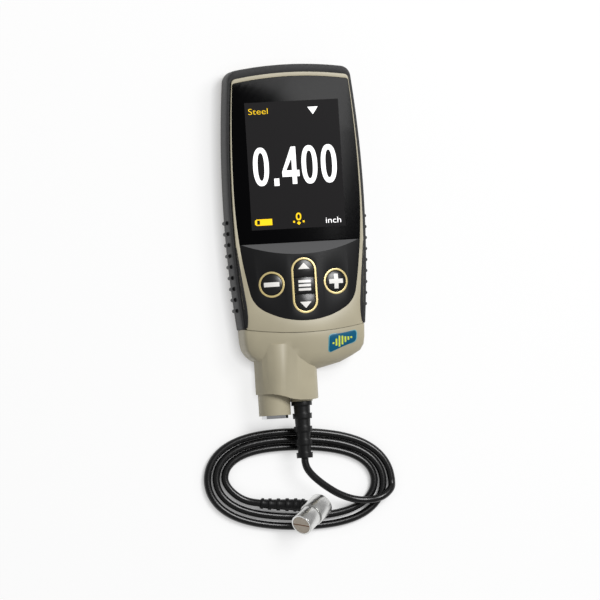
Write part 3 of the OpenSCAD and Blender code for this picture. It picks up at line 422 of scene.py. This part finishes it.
WINDOW_TOP = 19.8
SCREEN_SKIN = 0.04
MARK_SKIN = 0.04
WORD_SKIN = 0.02


def flat_shape(name, outlines, low, high, material):
    """A flat field with the given outlines (holes among them), between two heights."""
    data = bpy.data.curves.new(name, "CURVE")
    data.dimensions = "2D"
    data.fill_mode = "BOTH"
    data.extrude = (high - low) * MM / 2
    for outline in outlines:
        spline = data.splines.new("POLY")
        spline.use_cyclic_u = True
        spline.points.add(len(outline) - 1)
        for point, place in zip(spline.points, outline):
            point.co = (place[0] * MM, place[1] * MM, 0, 1)
    data.materials.append(material)
    piece = bpy.data.objects.new(name, data)
    piece.location = (0, 0, (low + high) * MM / 2)
    scene.collection.objects.link(piece)
    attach(piece, "gauge")
    return piece


def box_outline(x, y, width, height):
    return [(x - width / 2, y - height / 2), (x + width / 2, y - height / 2),
            (x + width / 2, y + height / 2), (x - width / 2, y + height / 2)]


def oval(x, y, half_width, half_height, fullness):
    """Rounded oval: 2 is an ellipse, more is fuller at the corners."""
    points = []
    for i in range(48):
        c, s = math.cos(math.tau * i / 48), math.sin(math.tau * i / 48)
        points.append((x + half_width * math.copysign(abs(c) ** (2 / fullness), c),
                       y + half_height * math.copysign(abs(s) ** (2 / fullness), s)))
    return points


SCREEN_MIDDLE = (0, 35.7)
SCREEN_SIZE = (45.2, 60.2)
SKIN_SINK = 0.01
DIGITS_Y = 35.4
NOUGHTS_X = (-16.4, 6.95, 16.3)
NOUGHT_OUTSIDE = (3.8, 9.1)
NOUGHT_INSIDE = (1.6, 6.6)
NOUGHT_FULLNESS = 2.3
POINT_AT = (-9.2, -7.6)
POINT_SIZE = (2.4, 3.5)
FOUR_X = -2.2
FOUR_SCALE = (0.95, 0.96)
FOUR_OUTLINE = [
    (0.6, 9.2), (2.95, 9.2), (2.95, -2.4), (4.35, -2.4), (4.35, -5.5), (2.95, -5.5),
    (2.95, -9.2), (0.65, -9.2), (0.65, -5.5), (-4.35, -5.5), (-4.35, -2.9),
]
FOUR_HOLE = [(0.65, 3.6), (0.65, -2.4), (-2.3, -2.4)]
ARROW = [(7.6, 62.6), (10.1, 59), (12.6, 62.6)]
CHARGE_OUTLINE = [
    (-20.9, 8.3), (-20.1, 7.7), (-12.6, 7.7), (-12.6, 10.7), (-20.1, 10.7), (-20.9, 10.1),
]
CHARGE_HOLE = (-19.2, 9.2, 1.4, 2.0)
ZERO_AT = (0.2, 11.1)
ZERO_TIP = [(-0.8, 8), (0.2, 7.1), (1.2, 8), (0.2, 8.9)]
ZERO_DOTS = [(-2.1, 8.7, 0.9, 0.9), (2.5, 8.7, 0.9, 0.9)]
screen_grey = shining("screen_grey", (25, 24, 25), 0.3)
screen_white = shining("screen_white", (250, 250, 250), 0.55)
screen_yellow = shining("screen_yellow", (244, 200, 30), 0.5)


def make_screen():
    mark_low = WINDOW_TOP + SCREEN_SKIN - SKIN_SINK
    mark_high = WINDOW_TOP + SCREEN_SKIN + MARK_SKIN
    flat_shape("screen_field", [box_outline(*SCREEN_MIDDLE, *SCREEN_SIZE)],
               WINDOW_TOP - SKIN_SINK, WINDOW_TOP + SCREEN_SKIN, screen_grey)
    reading = []
    for x in NOUGHTS_X:
        reading.append(oval(x, DIGITS_Y, *NOUGHT_OUTSIDE, NOUGHT_FULLNESS))
        reading.append(oval(x, DIGITS_Y, *NOUGHT_INSIDE, NOUGHT_FULLNESS))
    reading.append(box_outline(POINT_AT[0], DIGITS_Y + POINT_AT[1], *POINT_SIZE))
    for outline in (FOUR_OUTLINE, FOUR_HOLE):
        reading.append([(FOUR_SCALE[0] * x + FOUR_X, FOUR_SCALE[1] * y + DIGITS_Y) for x, y in outline])
    flat_shape("screen_reading", reading, mark_low, mark_high, screen_white)
    flat_shape("screen_arrow", [ARROW], mark_low, mark_high, screen_white)
    charge = [CHARGE_OUTLINE, box_outline(*CHARGE_HOLE)]
    flat_shape("screen_charge", charge, mark_low, mark_high, screen_yellow)
    zero = [oval(*ZERO_AT, 1.3, 1.8, 2.3), oval(*ZERO_AT, 0.65, 1.1, 2.2), ZERO_TIP]
    zero += [box_outline(*dot) for dot in ZERO_DOTS]
    flat_shape("screen_zero", zero, mark_low, mark_high, screen_yellow)
    write("screen_unit", "inch", 16.9, 8.5, 3.9, 1.22, mark_high, screen_white)
    write("screen_material", "Steel", -16.2, 61.4, 4.1, 1.24, mark_high, screen_yellow, -0.05)


def write(name, words, x, y, size, stretch, top, material, swell=0.0):
    """Plain words on the screen, around a middle, with strokes made thicker or thinner."""
    data = bpy.data.curves.new(name, "FONT")
    data.body = words
    data.align_x = "CENTER"
    data.align_y = "CENTER"
    data.size = size * MM
    data.extrude = WORD_SKIN * MM
    data.offset = swell * MM
    data.materials.append(material)
    piece = bpy.data.objects.new(name, data)
    piece.location = mm(x, y, top - WORD_SKIN)
    piece.scale = (stretch, 1, 1)
    scene.collection.objects.link(piece)
    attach(piece, "gauge")


make_screen()


PATCH_SINK = 0.05
RAY_FROM = 60


def mesh_from(build, name):
    mesh = bpy.data.meshes.new(name)
    build.to_mesh(mesh)
    build.free()
    return mesh


def tree_of(name):
    node = nodes[name]
    verts = [v.co.copy() for v in node.data.vertices]
    return BVHTree.FromPolygons(verts, [list(p.vertices) for p in node.data.polygons])


def look_down(tree, x, y):
    """Place and normal where a surface is first met from above, both None where it isn't."""
    return tree.ray_cast(mm(x, y, RAY_FROM), Vector((0, 0, -1)))[:2]


def lying_on(tree):
    """Maps a place in plan and a height over a surface, in millimetres, to the scene."""
    def surface(x, y, height):
        place, normal = look_down(tree, x, y)
        return place + normal * (height * MM if normal.z > 0 else -height * MM)
    return surface


def patch_mesh(name, quads, surface, thick, cells=8):
    """Thin pieces with four-cornered outlines, laid on a curved surface that maps (x, y, height)."""
    build = bmesh.new()
    for quad in quads:
        layers = []
        for height in (-PATCH_SINK, thick):
            rows = []
            for i in range(cells + 1):
                row = []
                for j in range(cells + 1):
                    u, v = i / cells, j / cells
                    x, y = [(quad[0][k] * (1 - u) + quad[1][k] * u) * (1 - v)
                            + (quad[3][k] * (1 - u) + quad[2][k] * u) * v for k in (0, 1)]
                    row.append(build.verts.new(surface(x, y, height)))
                rows.append(row)
            layers.append(rows)
        low, high = layers
        for i in range(cells):
            for j in range(cells):
                build.faces.new((high[i][j], high[i + 1][j], high[i + 1][j + 1], high[i][j + 1]))
        rim = [(i, 0) for i in range(cells)] + [(cells, j) for j in range(cells)]
        rim += [(i, cells) for i in range(cells, 0, -1)] + [(0, j) for j in range(cells, 0, -1)]
        for (a, b), (c, d) in zip(rim, rim[1:] + rim[:1]):
            build.faces.new((low[a][b], low[c][d], high[c][d], high[a][b]))
    bmesh.ops.remove_doubles(build, verts=build.verts[:], dist=0.002 * MM)
    bmesh.ops.recalc_face_normals(build, faces=build.faces[:])
    return mesh_from(build, name)


# The keys lie on a crown: a cylinder along Y, with a domed top on each key
CROWN_Z = -52.6
CROWN_RADIUS = 78
KEY_ASIDE = 15.5
KEY_ANGLE = math.asin(KEY_ASIDE / CROWN_RADIUS)
KEY_TOP = 78.35
DOME_RADIUS = 18
KEYS_Y = -20.4
CENTRE_Y = -21.6
CENTRE_PITCH = 23.8 / 3
MARK_THICK = 0.06
STROKE = 2.1
MINUS_LENGTH = 7.3
PLUS_LENGTH = 7.0
MENU_BAR = (5.9, 1.2)
MENU_PITCH = 1.9
ARROW_AT = 9.2
ARROW_HALF = (2.75, 1.475)
ARROW_TIP = 0.05


def on_key(angle, y, middle):
    """Maps a place on a key's dome, in millimetres, to the scene."""
    def surface(u, v, height):
        rise = math.sqrt(DOME_RADIUS ** 2 - u ** 2 - (v - middle) ** 2) - DOME_RADIUS
        r = KEY_TOP + rise + height
        return mm(u * math.cos(angle) + r * math.sin(angle), y + v,
                  CROWN_Z - u * math.sin(angle) + r * math.cos(angle))
    return surface


def arrow(way):
    """Arrow that points along Y, up with 1 and down with -1."""
    half, low, high = ARROW_HALF[0], ARROW_AT - ARROW_HALF[1], ARROW_AT + ARROW_HALF[1]
    if way > 0:
        return [(-half, low), (half, low), (ARROW_TIP, high), (-ARROW_TIP, high)]
    return [(-ARROW_TIP, -high), (ARROW_TIP, -high), (half, -low), (-half, -low)]


def add_marks():
    arm = (PLUS_LENGTH - STROKE) / 2
    reach = (PLUS_LENGTH + STROKE) / 4
    plus = [box_outline(0, 0, PLUS_LENGTH, STROKE), box_outline(0, reach, STROKE, arm),
            box_outline(0, -reach, STROKE, arm)]
    menu = [box_outline(0, s * MENU_PITCH, *MENU_BAR) for s in (-1, 0, 1)]
    marks = {
        "minus_key": ([box_outline(0, 0, MINUS_LENGTH, STROKE)], -KEY_ANGLE, KEYS_Y, 0),
        "plus_key": (plus, KEY_ANGLE, KEYS_Y, 0),
        "up_key": ([arrow(1)], 0, CENTRE_Y, CENTRE_PITCH),
        "menu_key": (menu, 0, CENTRE_Y, 0),
        "down_key": ([arrow(-1)], 0, CENTRE_Y, -CENTRE_PITCH),
    }
    for key, (quads, angle, y, middle) in marks.items():
        mesh = patch_mesh(key + "_mark", quads, on_key(angle, y, middle), MARK_THICK)
        add_piece(key + "_mark", mesh, mark_white, key)


add_marks()


# Badge on the probe's right shoulder, with a plain pulse mark
BADGE_CORNERS = [(10.0, -54.2), (24.5, -49.2), (24.8, -43.6), (10.3, -45.3)]
BADGE_ROUND = 1.9
BADGE_BORDER = 0.4
BORDER_THICK = 0.12
FIELD_THICK = 0.17
BADGE_SINK = 0.1
PULSE_HALF_HEIGHTS = (0.4, 1.6, 2.5, 2.0, 1.3, 0.8, 0.4)
PULSE_START = (12.6, -49.5)
PULSE_STEP = (1.5, 0.39)
PULSE_BAR = 0.84
PULSE_THICK = 0.05
badge_teal = moulded("badge_teal", (4, 88, 122), vary=0.06, rough=0.4, grain=0.5, depth=0.004,
                     Specular_IOR_Level=0.25)
badge_edge = moulded("badge_edge", (96, 168, 182), vary=0.05, rough=0.35, grain=0.5, depth=0.004)
badge_lime = moulded("badge_lime", (214, 226, 70), vary=0.04, rough=0.35, grain=0.5, depth=0.004)


def rounded(corners, radius, inset, steps=6):
    """Outline with rounded corners, set in by a given amount."""
    middle = Vector((sum(c[0] for c in corners) / 4, sum(c[1] for c in corners) / 4))
    points = []
    for i in range(4):
        here = Vector(corners[i])
        to_last = (Vector(corners[i - 1]) - here).normalized()
        to_next = (Vector(corners[(i + 1) % 4]) - here).normalized()
        for k in range(steps + 1):
            t = k / steps
            a, b = here + to_last * radius, here + to_next * radius
            place = a * (1 - t) ** 2 + here * 2 * t * (1 - t) + b * t ** 2
            points.append(place + (middle - place).normalized() * inset)
    return points


def make_badge():
    onto = lying_on(tree_of("probe_housing"))

    def disc(name, outline, high, material):
        """A thin plate with a rounded rim, made of rings that shrink towards its middle."""
        build = bmesh.new()
        middle = sum(outline, Vector((0, 0))) / len(outline)
        levels = [(1, -BADGE_SINK), (1, high * 0.6)]
        levels += [(share, high) for share in (0.97, 0.8, 0.55, 0.25)]
        rings = []
        for share, height in levels:
            places = [middle + (p - middle) * share for p in outline]
            rings.append([build.verts.new(onto(*place, height)) for place in places])
        top = build.verts.new(onto(*middle, high))
        count = len(outline)
        for a, b in zip(rings, rings[1:]):
            for j in range(count):
                k = (j + 1) % count
                build.faces.new((a[j], a[k], b[k], b[j]))
        for j in range(count):
            build.faces.new((rings[-1][j], rings[-1][(j + 1) % count], top))
        for face in build.faces:
            face.smooth = True
        add_piece(name, mesh_from(build, name), material, "probe")

    disc("badge_border", rounded(BADGE_CORNERS, BADGE_ROUND, 0), BORDER_THICK, badge_edge)
    disc("badge_field", rounded(BADGE_CORNERS, BADGE_ROUND, BADGE_BORDER), FIELD_THICK, badge_teal)
    # Pulse mark: a decaying wave as a row of short bars along the badge's middle line
    quads = []
    for i, half_height in enumerate(PULSE_HALF_HEIGHTS):
        x = PULSE_START[0] + PULSE_STEP[0] * i
        y = PULSE_START[1] + PULSE_STEP[1] * i
        quads.append(box_outline(x, y, PULSE_BAR, 2 * half_height))
    mesh = patch_mesh("badge_mark", quads, lambda x, y, h: onto(x, y, h + FIELD_THICK), PULSE_THICK, 4)
    add_piece("badge_mark", mesh, badge_lime, "probe")


make_badge()


# Lower ends of the grip: its rubber reaches further over the housing's face there, in millimetres
FOOT_REACH = [(-2, 0.15), (-12, 0.85), (-22, 1.4), (-30, 1.65), (-35, 1.4), (-38, 0.9), (-40, 0.4)]
FOOT_FROM = 20.0
FOOT_STEP = 0.05
FOOT_STEPS = 300
FOOT_CELLS = 4
FOOT_THICK = 0.15
FOOT_TUCK = 0.5


def make_grip_ends():
    grip = tree_of("rubber_grip")
    shell = tree_of("front_housing")
    onto = lying_on(shell)
    steps = [FOOT_FROM + FOOT_STEP * i for i in range(FOOT_STEPS)]

    def edges(side, y):
        """Where the grip starts and the housing's face ends, from the middle outwards."""
        on_grip = [x for x in steps if look_down(grip, side * x, y)[0]]
        on_shell = [x for x in steps if look_down(shell, side * x, y)[0]]
        end = max(on_shell, default=FOOT_FROM)
        return min(on_grip, default=end), end

    build = bmesh.new()
    for side in (-1, 1):
        rows = []
        for y, reach in FOOT_REACH:
            start, end = edges(side, y)
            inner = start - reach
            width = end - FOOT_STEP - inner
            row = [onto(side * inner, y, -PATCH_SINK)]
            for i in range(FOOT_CELLS + 1):
                row.append(onto(side * (inner + width * i / FOOT_CELLS), y, FOOT_THICK))
            # The last point lies in the grip, so that no gap shows beside it
            row.append(look_down(grip, side * (start + FOOT_TUCK), y)[0] - mm(0, 0, FOOT_THICK))
            rows.append([build.verts.new(place) for place in row])
        for a, b in zip(rows, rows[1:]):
            for i in range(len(a) - 1):
                build.faces.new((a[i], a[i + 1], b[i + 1], b[i])).smooth = True
    bmesh.ops.recalc_face_normals(build, faces=build.faces[:])
    add_piece("grip_ends", mesh_from(build, "grip_ends"), rubber, "gauge")


make_grip_ends()


# Studio: pale floor, a soft lamp and an even sky, in metres
FLOOR_HALF = 6
FLOOR_DROP = 0.0002
FLOOR_GLOW = 0.82
CONTACT_SHADE = 6 * MM
SKY_LEVEL = 0.3
LAMP_PLACE = (0.45, 0.36, 1.05)
LAMP_TARGET = (0, -0.03, 0)
LAMP_SIZE = (0.5, 0.5)
LAMP_POWER = 12


def make_floor():
    mesh = bpy.data.meshes.new("floor")
    corners = [(x, y, 0) for x, y in box_outline(0, 0, 2 * FLOOR_HALF, 2 * FLOOR_HALF)]
    mesh.from_pydata(corners, [], [(0, 1, 2, 3)])
    material, tree_nodes, links, shader = node_material("floor_white")
    coords = tree_nodes.new("ShaderNodeTexCoord").outputs["Object"]
    tone = noise(tree_nodes, links, coords, 3, 2.0)
    white = ramp(tree_nodes, links, tone, (0.93, 0.93, 0.93), (0.95, 0.95, 0.95))
    links.new(white, shader.inputs["Base Color"])
    shader.inputs["Roughness"].default_value = 0.9
    shader.inputs["Specular IOR Level"].default_value = 0.0
    # Seen from the camera or in a mirror, the floor is mostly plain white, and darker close to the gauge
    path = tree_nodes.new("ShaderNodeLightPath")
    seen = tree_nodes.new("ShaderNodeMath")
    seen.operation = "MAXIMUM"
    links.new(path.outputs["Is Camera Ray"], seen.inputs[0])
    links.new(path.outputs["Is Glossy Ray"], seen.inputs[1])
    open_floor = tree_nodes.new("ShaderNodeAmbientOcclusion")
    open_floor.inputs["Distance"].default_value = CONTACT_SHADE
    glow_share = tree_nodes.new("ShaderNodeMath")
    glow_share.operation = "MULTIPLY"
    glow_share.inputs[1].default_value = FLOOR_GLOW
    links.new(open_floor.outputs["AO"], glow_share.inputs[0])
    share = tree_nodes.new("ShaderNodeMath")
    share.operation = "MULTIPLY"
    links.new(glow_share.outputs["Value"], share.inputs[1])
    links.new(seen.outputs["Value"], share.inputs[0])
    glow = tree_nodes.new("ShaderNodeEmission")
    mixed = tree_nodes.new("ShaderNodeMixShader")
    links.new(share.outputs["Value"], mixed.inputs["Fac"])
    links.new(shader.outputs["BSDF"], mixed.inputs[1])
    links.new(glow.outputs["Emission"], mixed.inputs[2])
    links.new(mixed.outputs["Shader"], tree_nodes["Material Output"].inputs["Surface"])
    mesh.materials.append(material)
    floor = bpy.data.objects.new("floor", mesh)
    floor.location = (0, 0, -FLOOR_DROP)
    scene.collection.objects.link(floor)


def lamp(name, place, target, size, power):
    data = bpy.data.lights.new(name, "AREA")
    data.shape = "RECTANGLE"
    data.size, data.size_y = size
    data.energy = power
    light = bpy.data.objects.new(name, data)
    light.location = place
    light.rotation_euler = (Vector(target) - Vector(place)).to_track_quat("-Z", "Y").to_euler()
    scene.collection.objects.link(light)


def make_sky():
    world = bpy.data.worlds.new("studio")
    world.use_nodes = True
    back = world.node_tree.nodes["Background"]
    back.inputs["Color"].default_value = (1, 1, 1, 1)
    back.inputs["Strength"].default_value = SKY_LEVEL
    scene.world = world


make_floor()
make_sky()
lamp("lamp_key", LAMP_PLACE, LAMP_TARGET, LAMP_SIZE, LAMP_POWER)
